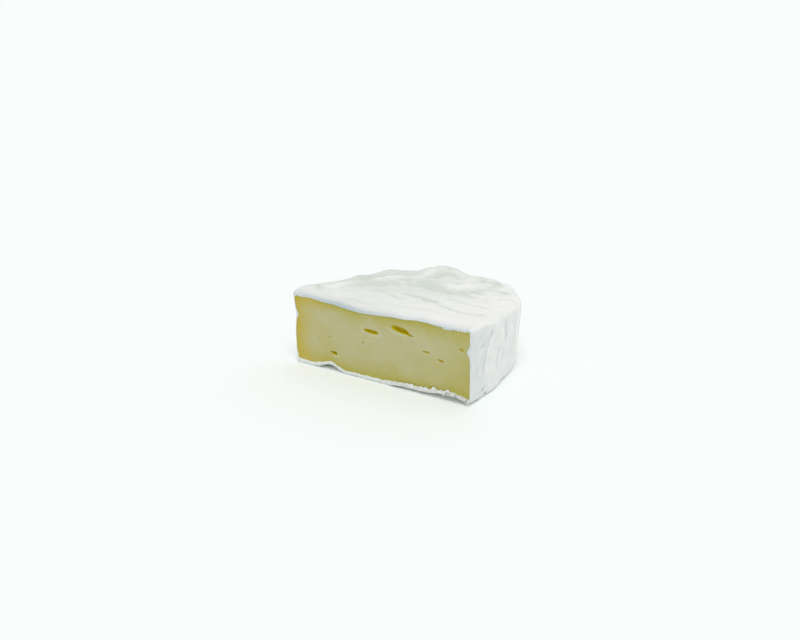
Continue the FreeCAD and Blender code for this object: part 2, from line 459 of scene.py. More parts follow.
def endNotches(share, z):
    # extra wall at each end of the cut: a hump over the height for each notch, fading with the
    # way round the rim
    run = rind["notchRun"]
    extra = rind["rightCorner"] * easeStep(6, 32, z) * hump(share, 0, run)
    for end, high, depth, reach in rind["notches"]:
        extra = extra + depth * hump(z, high, reach) * hump(share, end, run)
    return extra


def topRelief(x, y):
    # height of the top, and how grey it is painted, mostly as painted shade: the grain along the
    # cut, wide swells, a crumpled back, the folds, and the rises along the rim
    grainY = y / (1.0 + 0.006 * (x + 52.0))
    patchy = 0.55 + 0.7 * ripples(x, y, 12, (16, 40), count=12)
    grain = ripples(grainY, 0.1 * x, 11, (2.6, 8), spread=40, count=40)
    top = rind["grainDepth"] * patchy * grain
    top += rind["swellDepth"] * ripples(0.6 * x, y, 13, (9, 26), count=20)
    # painted shade: greyer towards the back and to the left
    greyAndShade = 0.12 + 0.38 * easeStep(30, 58, y + 0.25 * (20.0 - x))
    greyAndShade += 0.28 * (1 - easeStep(-25, 38, x))
    # one less the size of a ripple makes ridges with sharp crests
    crumple = 1 - np.abs(ripples(0.8 * x, y, 14, (7, 18), count=14)) * 2.2
    crumple += 0.6 * (1 - np.abs(ripples(x, y, 15, (4, 9), count=14)) * 2.2)
    crumple *= easeStep(36, 58, y + 0.3 * np.abs(x))
    top += 0.22 * crumple
    # painted highlight: whiter on the crumple's crests
    greyAndShade -= 0.16 * crumple
    for across, back, amount, reachX, reachY in rind["whiterPatches"]:
        greyAndShade -= amount * hump(x, across, reachX) * hump(y, back, reachY)
    wanderX = x + 0.5 * ripples(x, y, 16, (6, 16), count=10)
    wanderY = y + 0.35 * ripples(x, y, 17, (5, 14), count=10)
    for path, height, width, foldShade in rind["topFolds"]:
        mark = furrow(wanderX, wanderY, path, width)
        top += height * mark
        greyAndShade += foldShade * mark
    for across, back, height, reach in rind["rimRises"]:
        top += height * hump(x, across, reach) * hump(y, back, reach)
    return top, greyAndShade


def sideRelief(around, z):
    # the same over the side: upright grain, soft lumps and the folds, which end below the top; its grey
    # is painted shade, heavier near the cut and in the grain's hollows
    side = rind["sideGrainDepth"] * ripples(around, 0.22 * z, 21, (2.2, 8), spread=44, count=40)
    side += 0.12 * ripples(around, z, 22, (3.5, 10), count=24)
    greyAndShade = 0.3 + 0.3 * (1 - easeStep(12, 19, around)) - 0.07 * side / rind["sideGrainDepth"]
    # painted light, whiter, where the lamp leaves this part of the side in shade
    greyAndShade -= 0.25 * hump(around, 54, 5)
    below = 1 - easeStep(30, 39, z)
    for path, height, width, foldShade in rind["sideFolds"] + restOfSide():
        mark = furrow(around, z, path, width) * below
        side += height * mark
        greyAndShade += foldShade * mark
    return side, greyAndShade


def rindRelief(points, normals, around):
    # how far the rind stands out and how grey it is painted, from thin bloom and painted shade,
    # at each point of the skin: top, side and base, shared out by how far the skin faces up or down
    x, y, z = points[..., 0], points[..., 1], points[..., 2]
    upward = np.clip(normals[..., 2], 0, 1)
    under = np.clip(-normals[..., 2], 0, 1)
    sideways = 1 - upward - under
    top, topGreyAndShade = topRelief(x, y)
    side, sideGreyAndShade = sideRelief(around, z)
    base = -0.1 * (1.0 + ripples(x, y, 31, (4, 14), count=20))
    thinBase = 0.3 + 0.25 * ripples(x, y, 32, (5, 18), count=20)
    onTop = easeStep(0.1, 0.75, upward)
    onBase = easeStep(0.1, 0.75, under)
    greyAndShade = onTop * topGreyAndShade + onBase * thinBase + (1 - onTop - onBase) * sideGreyAndShade
    # hardly any relief where it meets the table
    quiet = 0.15 + 0.85 * easeStep(0, 2, z)
    relief = (upward * top + sideways * side) * quiet + under * base
    return relief, np.clip(greyAndShade, 0, 1)


def edgeTint(points, outerCount, upward):
    # how much bluish painted shade, with a little real damp tint from the paste: all of the lip, and
    # the outer skin near the cut, most where it faces up
    edge = np.ones(len(points))
    x, y = points[:outerCount, 0], points[:outerCount, 1]
    wide = hump(x, -18, 22)
    outer = (0.42 + 0.26 * wide) * (1 - easeStep(0.1, 1.6 + 3.2 * wide, y))
    outer += 0.3 * (1 - easeStep(0, 7.0 + 3 * wide, y))
    edge[:outerCount] = outer * (0.25 + 0.75 * np.clip(upward, 0, 1))
    # the painted shade is bluest left of the middle, paler at the corners, to the right and along the
    # foot
    x, z = points[:, 0], points[:, 2]
    blue = 1 - 0.42 * easeStep(-20, 6, x) - 0.25 * easeStep(34, 46, x)
    blue -= 0.75 * (1 - easeStep(-52, -36, x))
    return edge * (0.25 + 0.75 * blue * easeStep(6, 20, z))


def makeRind():
    # the plain skin pushed out along its normals by its relief, a second skin inside it set in
    # by the wall, and a lip that joins the two in the cut
    share = columnShares(rind["columns"])
    outer = skinGrid(share, 0.0, none, footLift)
    normals = skinNormals(outer)
    around = np.broadcast_to(share[:, None] * rimLength, outer.shape[:2])
    slantAround = around + 0.7 * ripples(around, outer[..., 2], 23, (12, 30), count=10)
    slantAround = slantAround + 0.35 * ripples(around, outer[..., 2], 24, (3, 8), count=12)
    relief, greyAndShade = rindRelief(outer, normals, slantAround)
    outer = outer + normals * relief[..., None]
    outer[..., 2] = np.maximum(outer[..., 2], 0.0)
    outer = leanLeft(outer)
    # the outer edge rolls in towards the cut along a quarter circle
    sideRoll, topRoll = rind["edgeRoll"]
    roll = sideRoll + (topRoll - sideRoll) * np.abs(normals[..., 2])
    outer = outer - normals * [1, 0, 1] * rounding(outer[..., 1], roll)[..., None]

    inner = skinGrid(share, rind["sideWall"], rindTop, rindBase)
    innerNormals = skinNormals(inner)
    inner = inner - innerNormals * endNotches(share[:, None], inner[..., 2])[..., None]
    inner = inner - innerNormals * (rind["backWall"] * easeStep(1.5, 9, inner[..., 1]))[..., None]
    inner[..., 1] = inner[..., 1] * 0.985 + rind["lipTuck"]
    inner = leanLeft(inner)

    # the four edges of the skin make one loop in the cut
    columns, rows = outer.shape[:2]
    index = np.arange(columns * rows).reshape(columns, rows)
    loop = outlineOf(index)
    outerLoop = outer.reshape(-1, 3)[loop]
    innerLoop = inner.reshape(-1, 3)[loop]
    # the lip goes straight from the one edge to the other, bulging out of the cut as a half
    # sine to the power 0.6
    steps = np.linspace(0, 1, rind["lipRows"])[1:-1, None]
    wobble = 1.0 + 0.5 * ripples(outerLoop[:, 0], outerLoop[:, 2], 41, (1.5, 8), count=16)
    lip = outerLoop + (innerLoop - outerLoop) * steps[..., None]
    bulge = rind["lipBulge"] * wobble * np.sin(math.pi * steps) ** 0.6
    lip[..., 1] = -bulge + rind["lipTuck"] * easeStep(0.78, 1, steps) * np.ones_like(bulge)

    points = np.concatenate([outer.reshape(-1, 3), inner.reshape(-1, 3), lip.reshape(-1, 3)])
    size = columns * rows
    lipIndex = 2 * size + np.arange(lip.shape[0] * lip.shape[1]).reshape(lip.shape[:2])
    band = closeRound(np.concatenate([loop[None], lipIndex, size + loop[None]]))
    skin = gridFaces(index)
    faces = np.concatenate([skin, (skin + size)[:, ::-1], gridFaces(band)])

    # specks on the side, and a duller lip along the right of the foot
    speck = np.zeros(len(points))
    onSide = np.abs(normals[..., 2]) < 0.7
    for where, high, reach in rind["specks"]:
        spot = hump(around, where, reach) * hump(outer[..., 2], high, 0.8 * reach)
        speck[:size] += np.ravel(spot * onSide)
    lipX, lipZ = points[size:, 0], points[size:, 2]
    speck[size:] = 0.2 * easeStep(4, 20, lipX) * (1 - easeStep(3, 7, lipZ))
    allGreyAndShade = 0.25 + 0.6 * ripples(points[:, 0], 1.6 * points[:, 2], 42, (1.2, 4), count=20)
    # on the skin: its grey, mostly painted shade and painted highlight
    allGreyAndShade[:size] = np.ravel(greyAndShade)
    layers = {
        "edge": edgeTint(points, size, np.ravel(normals[..., 2])),
        "upward": padded(normals[..., 2], len(points)),
        "around": padded(around, len(points)),
        "greyAndShade": allGreyAndShade,
        "speck": speck,
    }
    piece = buildPiece("rindShell", toFrame(points), faces, rindMaterial, layers)
    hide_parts("camembert_half")
    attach(piece, "root")
    print("rind", len(points), "points")


paste = {
    "tuck": 0.35,  # how far the paste runs on under the rind's lip
    "sideTuck": 0.12,
    "setBack": 0.1,
    "unevenness": 0.07,
    "faceWidth": 103,
    "columns": 421,
    "rows": 151,
    "rings": 21,  # behind the face
    "backGap": 6,  # how far its back stays from the cheese's back
    "sideGap": 4.8,  # and its sides from the cheese's sides, out of sight
    "topGap": 3.6,
    "rimPull": 0.45,  # how near an eye's rim points are drawn towards it, in radii
    # ripening in from each side of the cut: how much, how far in mm, how sharply it ends
    "ripeTop": (0.95, 4.2, 1.4),
    # at the foot it runs further in: real ripening, and painted shade where the paste meets the table
    "ripeAndShadeFoot": (0.95, 6.2, 1.2),
    "ripeLeft": (0.95, 8.6, 1.3),
    "ripeRight": (0.45, 15, 1),
    "ripeCorner": (0.35, 3, 1),
    # eyes: across, up, half length, half height, depth, tilt in degrees, taper to the right
    "eyes": [
        (12.4, 30.3, 5.3, 1.62, 2.5, -7.5, 0.16),
        (17.4, 28.9, 2.6, 0.8, 1.3, -9, 0.2),
        (-4.9, 26.1, 4.5, 1.2, 1.8, -2, -0.15),
        (-27.9, 10.1, 2.2, 0.95, 1.5, -6, -0.6),
        (27.2, 22.1, 2.2, 0.66, 0.8, -3, -0.2),
        (35.4, 19.5, 1.8, 0.78, 0.9, -8, 0.1),
        (-9.7, 19.3, 0.7, 0.5, 0.6, 0, 0),
        (-30.5, 18.2, 0.6, 0.45, 0.5, 0, 0),
        (46.7, 27.3, 1.2, 0.95, 0.7, 10, 0),
        (-8.6, 32, 1.8, 0.4, 0.3, -6, 0),
        (-42.7, 26.6, 1.6, 0.55, 0.25, -35, 0),
        (30.8, 4.6, 1.5, 0.9, 0.8, 0, 0),
        (19, 13.5, 0.5, 0.35, 0.35, 0, 0),
        (-18, 13, 0.45, 0.35, 0.3, 0, 0),
    ],
}


def pasteSection(a, b, y):
    # a runs 0..1 from left to right, b runs 0..1 up, y is how far back: the oval's half width
    # at y times (2a - 1), and a share b of the way from the underside to the top
    length = cheese["halfLength"] - paste["backGap"]
    wide = halfWidth - rind["sideWall"] + paste["sideTuck"]
    power = cheese["ovalPower"]
    # how wide at y: 1 less (y / length) to the power, and the root of that
    w = wide * np.maximum(1 - (y / length) ** power, 1e-9) ** (1.0 / power)
    x = (2 * a - 1) * np.maximum(w - paste["sideGap"] * easeStep(1, 9, y), 0.2)
    x = x - np.sign(x) * (np.abs(x) / wide) * cheese["lean"][0] * (1 - b) ** 2
    # 0 in the middle and 1 on the oval: the root of the sum of both sides' shares to the power
    rho = np.minimum(((np.abs(x) / wide) ** power + (y / length) ** power) ** (1.0 / power), 1.0)
    radius = np.where(rho > 0.05, np.hypot(x, y) / np.maximum(rho, 0.05), halfWidth)
    toRim = (1 - rho) * radius
    back = np.sin(0.5 * math.pi * np.clip(y / 60.0, 0, 1))
    sunk = paste["topGap"] * easeStep(1, 9, y)
    zTop = topLevel(x, y) - rindTop(x, y) + paste["tuck"] - rounding(toRim, 1.7 + 3.4 * back) - sunk
    zBase = baseLevel(x, y) + rindBase(x, y) - paste["tuck"] + rounding(toRim, 1.2 + 2.2 * back) + sunk
    return x, zBase + (zTop - zBase) * b, zTop, zBase


def ripenedFrom(side, distance):
    # 1 far from that side; near it, less by its amount times e to the minus (distance / reach)
    # to its power
    amount, reach, power = side
    return 1 - amount * np.exp(-(distance / reach) ** power)


def makePaste():
    # the face of the cut as a grid with its eyes pressed in, and a body behind it
    a = np.linspace(0, 1, paste["columns"])[:, None]
    b = np.linspace(0, 1, paste["rows"])[None, :]
    x, z, zTop, zBase = pasteSection(a, b, 0 * a * b)
    y = paste["setBack"] + paste["unevenness"] * ripples(x, z, 51, (8, 30), count=16)
    y += 0.018 * ripples(0.2 * x, z, 52, (0.9, 3.5), heading=90, spread=60, count=24)
    pit = np.zeros_like(x)
    brimHighlight = np.zeros_like(x)
    warpX, warpZ = np.zeros_like(x), np.zeros_like(x)
    near = paste["rimPull"]
    for cx, cz, halfLong, halfHigh, depth, tilt, taper in paste["eyes"]:
        # r is 1 on the eye's rim: along to the power 2.1 plus up squared, and the 2.05th root.
        # Points near the rim are drawn towards it, to be off it by off squared over the pull's
        # reach, and the floor falls as a smooth S of r
        c, s = math.cos(math.radians(tilt)), math.sin(math.radians(tilt))
        along = ((x - cx) * c + (z - cz) * s) / halfLong
        high = halfHigh * np.clip(1 - taper * along, 0.3, 1.35)
        high = high * (1.0 + 0.1 * np.sin(4 * along + 3 * cx))
        up = (-(x - cx) * s + (z - cz) * c) / high
        r = np.maximum((np.abs(along) ** 2.1 + np.abs(up) ** 2.0) ** (1.0 / 2.05), 1e-6)
        off = np.clip(r - 1.0, -near, near)
        pulled = np.where(np.abs(r - 1.0) < near, 1.0 + off * np.abs(off) / near, r)
        factor = pulled / r - 1.0
        warpX += (along * factor) * halfLong * c - (up * factor) * high * s
        warpZ += (along * factor) * halfLong * s + (up * factor) * high * c
        inside = 1 - easeStep(0.45, 1, r)
        y = y + depth * inside
        y = y - 0.1 * hump(r, 1.25, 0.3) * min(depth, 1.0)
        # painted highlight on the lower brim of each eye, where its lip faces up into the light
        brim = hump(r, 1.35, 0.28) * np.clip(-up, 0, 1) * min(1.0, depth)
        brimHighlight = np.maximum(brimHighlight, brim)
        pit = np.maximum(pit, (1 - easeStep(0.82, 1.06, r)) * min(1.0, 0.35 + 0.45 * depth))
    # flat against the rind: about how many mm from the face's own edge
    rimGap = np.minimum(np.minimum(a, 1 - a) * 100.0, np.minimum(b, 1 - b) * 34.0)
    calm = easeStep(0.2, 1.2, rimGap)
    y = paste["setBack"] + (y - paste["setBack"]) * calm
    face = leanLeft(np.stack([x + warpX * calm, y, z + warpZ * calm], axis=-1))

    # ripeness: 1 against the rind, fading towards the heart at its own pace from each side
    fromTop, fromBase = zTop - z, z - zBase
    fromLeft = a * paste["faceWidth"] + 0 * b
    fromRight = paste["faceWidth"] - fromLeft
    wander = 1.0 + 0.25 * ripples(x, z, 53, (6, 22), count=16)
    fade = ripenedFrom(paste["ripeCorner"], fromRight)
    sides = {"ripeTop": fromTop, "ripeAndShadeFoot": fromBase, "ripeLeft": fromLeft, "ripeRight": fromRight}
    for side, distance in sides.items():
        fade = fade * ripenedFrom(paste[side], distance / wander)
    ripe = 1 - fade
    gold = 1 - easeStep(-50, -22, x)

    # the body behind: the face's outline carried back through the oval in rings, each as far
    # back as the sine of its turn, and closed in a point
    columns, rows = x.shape
    index = np.arange(columns * rows).reshape(columns, rows)
    loop = outlineOf(index)
    loopA = np.ravel(a + 0 * b)[loop]
    loopB = np.ravel(b + 0 * a)[loop]
    deepest = cheese["halfLength"] - paste["backGap"]
    turn = 0.5 * math.pi * np.linspace(0.0, 0.985, paste["rings"] + 1)[1:, None]
    ringY = deepest * np.sin(turn)
    ringX, ringZ, _, _ = pasteSection(loopA[None], loopB[None], ringY + 0 * loopA[None])
    rings = leanLeft(np.stack([ringX, ringY + 0 * ringX, ringZ], axis=-1))
    pole = rings[-1].mean(axis=0) + [0.0, 0.01, 0.0]
    points = np.concatenate([face.reshape(-1, 3), rings.reshape(-1, 3), pole[None]])
    ringIndex = columns * rows + np.arange(rings.shape[0] * rings.shape[1]).reshape(rings.shape[:2])
    band = closeRound(np.concatenate([loop[None], ringIndex]))
    last = band[-1]
    poleIndex = len(points) - 1
    # the closing fan takes two steps of the last ring for each four-sided face
    fan = np.stack([np.full(len(last) // 2, poleIndex), last[:-1:2], last[1::2], last[2::2]], axis=-1)
    faces = np.concatenate([gridFaces(index), gridFaces(band), fan[:, ::-1]])
    layers = {"ripe": padded(ripe, len(points), 1.0)}
    for key, onFace in (("pit", pit), ("gold", gold), ("brimHighlight", brimHighlight)):
        layers[key] = padded(onFace, len(points))
    piece = buildPiece("cutPaste", toFrame(points), faces, pasteMaterial, layers)
    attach(piece, "root")
    print("paste", len(points), "points")


def scrapLayers(points, greyAndShade, speck):
    # what the rind's material reads, for bits that are neither lip nor top
    blank = np.zeros(len(points))
    return {"edge": blank, "upward": blank, "around": points[:, 0], "greyAndShade": greyAndShade, "speck": speck}


fringe = {
    "from": 6,
    "to": 50,
    "columns": 400,
    "rows": 9,
    "height": 1.3,
    "thick": 0.22,
    # torn higher here: across, how much, reach
    "tears": [(34.5, 0.5, 4), (41, 0.4, 2.5), (29, 0.4, 2), (22, 0.4, 2.4), (13, 0.4, 2.4)],
}


def makeFringe():
    # a ragged strip of rind along the foot of the cut, bent out of it: its height follows
    # rough waves and tears, and runs out at both ends as a half sine to the power 0.35
    s = np.linspace(0, 1, fringe["columns"])[:, None]
    x = fringe["from"] + (fringe["to"] - fringe["from"]) * s
    low = baseLevel(x, 0 * x) + footLift(x, 0 * x)
    rough = 0.42 * ripples(x, 0 * x, 61, (1, 3.2), count=20)
    rough = rough + 0.6 * ripples(x, 0 * x, 62, (2.5, 8), count=10)
    high = fringe["height"] + 0.6 * rough + 0.4 * hump(x, 14, 22)
    for centre, height, reach in fringe["tears"]:
        high = high + height * hump(x, centre, reach) * (0.7 + 0.6 * rough)
    ends = np.sin(math.pi * s) ** 0.35
    high = np.maximum(high, 0.15) * ends
    v = np.linspace(0, 1, fringe["rows"])[None, :]
    flutter = 0.22 * ripples(x, 3 * v, 63, (1.6, 5), count=16)
    z = low + 0.25 + (high + 0.6) * v
    # how far it stands out of the cut: the same all along, a bow, and more towards its top
    bow = (0.1 + flutter * 0.5) * np.sin(math.pi * v) ** 0.5
    yFront = -(0.22 + bow + 0.1 * v * (1.0 + flutter))
    thick = fringe["thick"] * (1 - 0.75 * v ** 2) * np.maximum(ends, 0.2)
    front = np.stack([x + 0 * v, yFront, z], axis=-1)
    back = np.stack([x + 0 * v, yFront + thick, z], axis=-1)
    ring = np.concatenate([front, back[:, ::-1]], axis=1)
    columns, rows = ring.shape[:2]
    index = np.arange(columns * rows).reshape(columns, rows)
    half = rows // 2
    faces = [gridFaces(closeRound(index))]
    for column, order in ((0, -1), (columns - 1, 1)):
        cap = np.stack([index[column, :half], index[column, ::-1][:half]], axis=0)
        faces.append(gridFaces(cap)[:, ::order])
    points = ring.reshape(-1, 3)
    greyAndShade = 0.3 + 0.5 * ripples(points[:, 0], 2 * points[:, 2], 64, (0.8, 3))
    dull = 0.14 + 0.1 * ripples(points[:, 0], points[:, 2], 65, (1.5, 6))
    layers = scrapLayers(points, greyAndShade, np.clip(dull, 0, 1))
    piece = buildPiece("rindFringe", toFrame(points), np.concatenate(faces), rindMaterial, layers)
    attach(piece, "root")
    print("fringe", len(points), "points")


crumbs = {
    "count": 46,
    "sizes": (0.22, 0.62),
    "rightMost": 51,
    "strewn": 16,  # how far to the left they reach
    "segments": 12,
    "rings": 7,
}


def makeCrumbs():
    # bits of rind at the right foot of the cut, each a ball whose radius is 1 plus 0.22 times
    # the sine of a random slope across it, squashed a little and turned at random
    rng = np.random.default_rng(81)
    segments, rings = crumbs["segments"], crumbs["rings"]
    turn = np.linspace(0.0, 2 * math.pi, segments, endpoint=False)[:, None]
    tilt = np.linspace(-0.5 * math.pi, 0.5 * math.pi, rings + 2)[1:-1][None, :]
    around, upright = np.cos(tilt), np.sin(tilt) + 0 * turn
    shell = np.stack([np.cos(turn) * around, np.sin(turn) * around, upright], axis=-1)
    ball = np.concatenate([shell.reshape(-1, 3), [[0.0, 0.0, -1.0], [0.0, 0.0, 1.0]]])
    index = np.arange(segments * rings).reshape(segments, rings)
    closed = np.concatenate([index, index[:1]], axis=0)
    # each end closes in a fan, two steps of its ring to a four-sided face
    lowPole = np.full(segments // 2, segments * rings)
    low, high = closed[:, 0], closed[:, -1]
    bottom = np.stack([lowPole, low[2::2], low[1::2], low[:-1:2]], axis=-1)
    top = np.stack([lowPole + 1, high[:-1:2], high[1::2], high[2::2]], axis=-1)
    oneFaces = np.concatenate([gridFaces(closed), bottom, top])
    allPoints, allFaces = [], []
    for number in range(crumbs["count"]):
        x = crumbs["rightMost"] - crumbs["strewn"] * rng.random() ** 1.6
        size = rng.uniform(*crumbs["sizes"])
        z = float(baseLevel(np.array(x), np.array(0.0))) + size + rng.random() ** 2 * 1.6
        wave = 1.0 + 0.22 * np.sin(ball @ rng.normal(0.0, 2.2, 3) + 6.0 * rng.random())
        spin = np.linalg.qr(rng.normal(size=(3, 3)))[0]
        spin *= np.sign(np.linalg.det(spin))
        points = (ball * wave[:, None] * size * rng.uniform(0.65, 1.1, 3)) @ spin.T
        points += [x, -0.1 - (0.3 + 0.3 * rng.random()) * size, z]
        points[:, 2] = np.maximum(points[:, 2], 0.02)
        allPoints.append(points)
        allFaces.append(oneFaces + number * len(ball))
    points = np.concatenate(allPoints)
    shades = np.clip(np.repeat(rng.uniform(-0.1, 1.0, crumbs["count"]), len(ball)), 0, 1)
    layers = scrapLayers(points, shades, 0.15 + 0.6 * shades)
    piece = buildPiece("rindCrumbs", toFrame(points), np.concatenate(allFaces), rindMaterial, layers)
    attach(piece, "root")
    print("crumbs", len(points), "points")


def addNode(tree, kind, **settings):
    # a setting is a socket's value where a socket has its name, or else the node's own
    node = tree.nodes.new(kind)
    for key, value in settings.items():
        if key in node.inputs:
            node.inputs[key].default_value = value
        else:
            setattr(node, key, value)
    return node


def join(tree, source, target):
    tree.links.new(source, target)


def feed(tree, socket, value):
    # value is another socket, or a plain number or colour
    if hasattr(value, "links"):
        tree.links.new(value, socket)
    else:
        socket.default_value = value


def blendOf(tree, factor, a, b, kind="RGBA"):
    # a at 0 and b at 1: colours, or plain values where the kind is FLOAT
    node = addNode(tree, "ShaderNodeMix", data_type=kind)
    first, result = (6, 2) if kind == "RGBA" else (2, 0)
    for number, value in ((0, factor), (first, a), (first + 1, b)):
        feed(tree, node.inputs[number], value)
    return node.outputs[result]


def maths(tree, kind, *values, clamp=False):
    node = addNode(tree, "ShaderNodeMath", operation=kind, use_clamp=clamp)
    for socket, value in zip(node.inputs, values):
        feed(tree, socket, value)
    return node.outputs[0]


def spread(tree, value, low, high, toLow=0.0, toHigh=1.0):
    # value from low..high stretched smoothly to toLow..toHigh
    node = addNode(tree, "ShaderNodeMapRange", interpolation_type="SMOOTHSTEP")
    join(tree, value, node.inputs["Value"])
    ends = {"From Min": low, "From Max": high, "To Min": toLow, "To Max": toHigh}
    for socket, number in ends.items():
        node.inputs[socket].default_value = number
    return node.outputs["Result"]


def bumpOf(tree, height, strength, distance):
    node = addNode(tree, "ShaderNodeBump", Strength=strength, Distance=distance)
    join(tree, height, node.inputs["Height"])
    return node


def shade(r, g, b):
    # a colour given as 0..255 on screen, turned to the shader's linear values by the sRGB
    # curve: a power of 2.4, and a straight line in the darkest part
    out = []
    for value in (r, g, b):
        c = value / 255.0
        out.append(c / 12.92 if c <= 0.04045 else ((c + 0.055) / 1.055) ** 2.4)
    return (*out, 1.0)


def newMaterial(name, constants):
    material = bpy.data.materials.new(name)
    material.use_nodes = True
    shader = material.node_tree.nodes["Principled BSDF"]
    for socket, value in constants.items():
        shader.inputs[socket].default_value = value
    return material, material.node_tree, shader


def makeMottle():
    # soft cloud with finer cloud in it: a mask for colour and a height for bump
    group = bpy.data.node_groups.new("softMottle", "ShaderNodeTree")
    for name, kind in (("Vector", "Vector"), ("Scale", "Float"), ("Detail", "Float")):
        group.interface.new_socket(name, in_out="INPUT", socket_type="NodeSocket" + kind)
    for name in ("Mask", "Height"):
        group.interface.new_socket(name, in_out="OUTPUT", socket_type="NodeSocketFloat")
    entry = group.nodes.new("NodeGroupInput")
    result = group.nodes.new("NodeGroupOutput")
    cloud = addNode(group, "ShaderNodeTexNoise", Roughness=0.62)
    fine = addNode(group, "ShaderNodeTexNoise", Detail=3.0, Roughness=0.7)
    for name in ("Vector", "Scale", "Detail"):
        join(group, entry.outputs[name], cloud.inputs[name])
    join(group, entry.outputs["Vector"], fine.inputs["Vector"])
    join(group, maths(group, "MULTIPLY", entry.outputs["Scale"], 5.3), fine.inputs["Scale"])
    join(group, spread(group, cloud.outputs["Fac"], 0.32, 0.68), result.inputs["Mask"])
    height = maths(group, "MULTIPLY_ADD", fine.outputs["Fac"], 0.35, cloud.outputs["Fac"])
    join(group, height, result.inputs["Height"])
    return group


def mottle(tree, vector, scale, detail=4.0):
    node = tree.nodes.new("ShaderNodeGroup")
    node.node_tree = softMottle
    join(tree, vector, node.inputs["Vector"])
    node.inputs["Scale"].default_value = scale
    node.inputs["Detail"].default_value = detail
    return node


def stretched(tree, vector, factors):
    node = addNode(tree, "ShaderNodeVectorMath", operation="MULTIPLY")
    join(tree, vector, node.inputs[0])
    node.inputs[1].default_value = factors
    return node.outputs[0]


def readLayer(tree, name):
    node = addNode(tree, "ShaderNodeAttribute", attribute_name=name)
    return node.outputs["Fac"]


rindColours = {
    "bloom": shade(249, 250, 248),
    # the grey of thin bloom, and the colour of the painted shade on the top and the side
    "grey": shade(214, 223, 212),
    "sideGrey": shade(210, 218, 218),
    "speck": shade(128, 120, 98),
    "cream": shade(247, 247, 242),
    # the bluish painted shade of the lip and the skin next to the cut, with a little real damp tint
    "edge": shade(184, 196, 203),
    # bumps: strength, distance in metres
    "streakBump": (0.8, 0.0005),
    "fineBump": (0.7, 0.00022),
    "constants": {
        "Roughness": 0.82,
        "Sheen Weight": 0.25,
        "Sheen Roughness": 0.6,
        "Specular IOR Level": 0.3,
    },
}


def makeRindMaterial():
    material, tree, shader = newMaterial("rind", rindColours["constants"])
    place = addNode(tree, "ShaderNodeTexCoord").outputs["Object"]
    inMillimetres = stretched(tree, place, (1000, 1000, 1000))
    apart = addNode(tree, "ShaderNodeSeparateXYZ")
    join(tree, inMillimetres, apart.inputs[0])

    # the grain: along the cut on the top, up and down on the side
    topGrain = addNode(tree, "ShaderNodeCombineXYZ")
    join(tree, maths(tree, "MULTIPLY", apart.outputs["X"], 0.14), topGrain.inputs["X"])
    join(tree, apart.outputs["Y"], topGrain.inputs["Y"])
    sideGrain = addNode(tree, "ShaderNodeCombineXYZ")
    join(tree, readLayer(tree, "around"), sideGrain.inputs["X"])
    join(tree, maths(tree, "MULTIPLY", apart.outputs["Z"], 0.2), sideGrain.inputs["Y"])
    top = mottle(tree, topGrain.outputs[0], 0.55, 5.0)
    side = mottle(tree, sideGrain.outputs[0], 0.3, 4.0)
    onTop = spread(tree, maths(tree, "ABSOLUTE", readLayer(tree, "upward")), 0.25, 0.85)
    streakMask = blendOf(tree, onTop, side.outputs["Mask"], top.outputs["Mask"], "FLOAT")
    streakHeight = blendOf(tree, onTop, side.outputs["Height"], top.outputs["Height"], "FLOAT")

    # grey shows where the layer holds thin bloom and painted shade, a little more in the hollows of the
    # streaks and less on their crests, as painted shade that follows their bump
    clouds = mottle(tree, inMillimetres, 0.075, 3.0)
    strength = maths(tree, "MULTIPLY_ADD", onTop, 0.14, 0.14)
    greyAndShadeAmount = maths(tree, "MULTIPLY", maths(tree, "SUBTRACT", 0.5, streakMask), strength)
    greyAndShadeAmount = maths(tree, "ADD", readLayer(tree, "greyAndShade"), greyAndShadeAmount, clamp=True)
    white = blendOf(tree, clouds.outputs["Mask"], rindColours["bloom"], rindColours["cream"])
    grey = blendOf(tree, onTop, rindColours["sideGrey"], rindColours["grey"])
    colour = blendOf(tree, greyAndShadeAmount, white, grey)
    # bluish painted shade on the lip and on the skin next to the cut
    colour = blendOf(tree, readLayer(tree, "edge"), colour, rindColours["edge"])
    colour = blendOf(tree, readLayer(tree, "speck"), colour, rindColours["speck"])
    join(tree, colour, shader.inputs["Base Color"])

    fluff = mottle(tree, inMillimetres, 1.4, 4.0)
    pores = mottle(tree, inMillimetres, 0.45, 3.0)
    fineHeight = maths(tree, "MULTIPLY_ADD", pores.outputs["Height"], 1.6, fluff.outputs["Height"])
    streaks = bumpOf(tree, streakHeight, *rindColours["streakBump"])
    nap = bumpOf(tree, fineHeight, *rindColours["fineBump"])
    join(tree, streaks.outputs[0], nap.inputs["Normal"])
    join(tree, nap.outputs[0], shader.inputs["Normal"])
    return material


pasteColours = {
    "heart": shade(188, 184, 139),
    "ripe": shade(174, 166, 62),
    "gold": shade(189, 170, 52),
    "pit": shade(196, 179, 2),
    # painted highlight on the lower brims of the eyes
    "brimHighlight": shade(202, 206, 172),
    "roughness": (0.42, 0.58),
    "bump": (0.25, 0.00015),
    "constants": {
        "Specular IOR Level": 0.35,
        "Subsurface Weight": 0.2,
        "Subsurface Radius": (1.0, 0.8, 0.3),
        "Subsurface Scale": 0.002,
    },
}


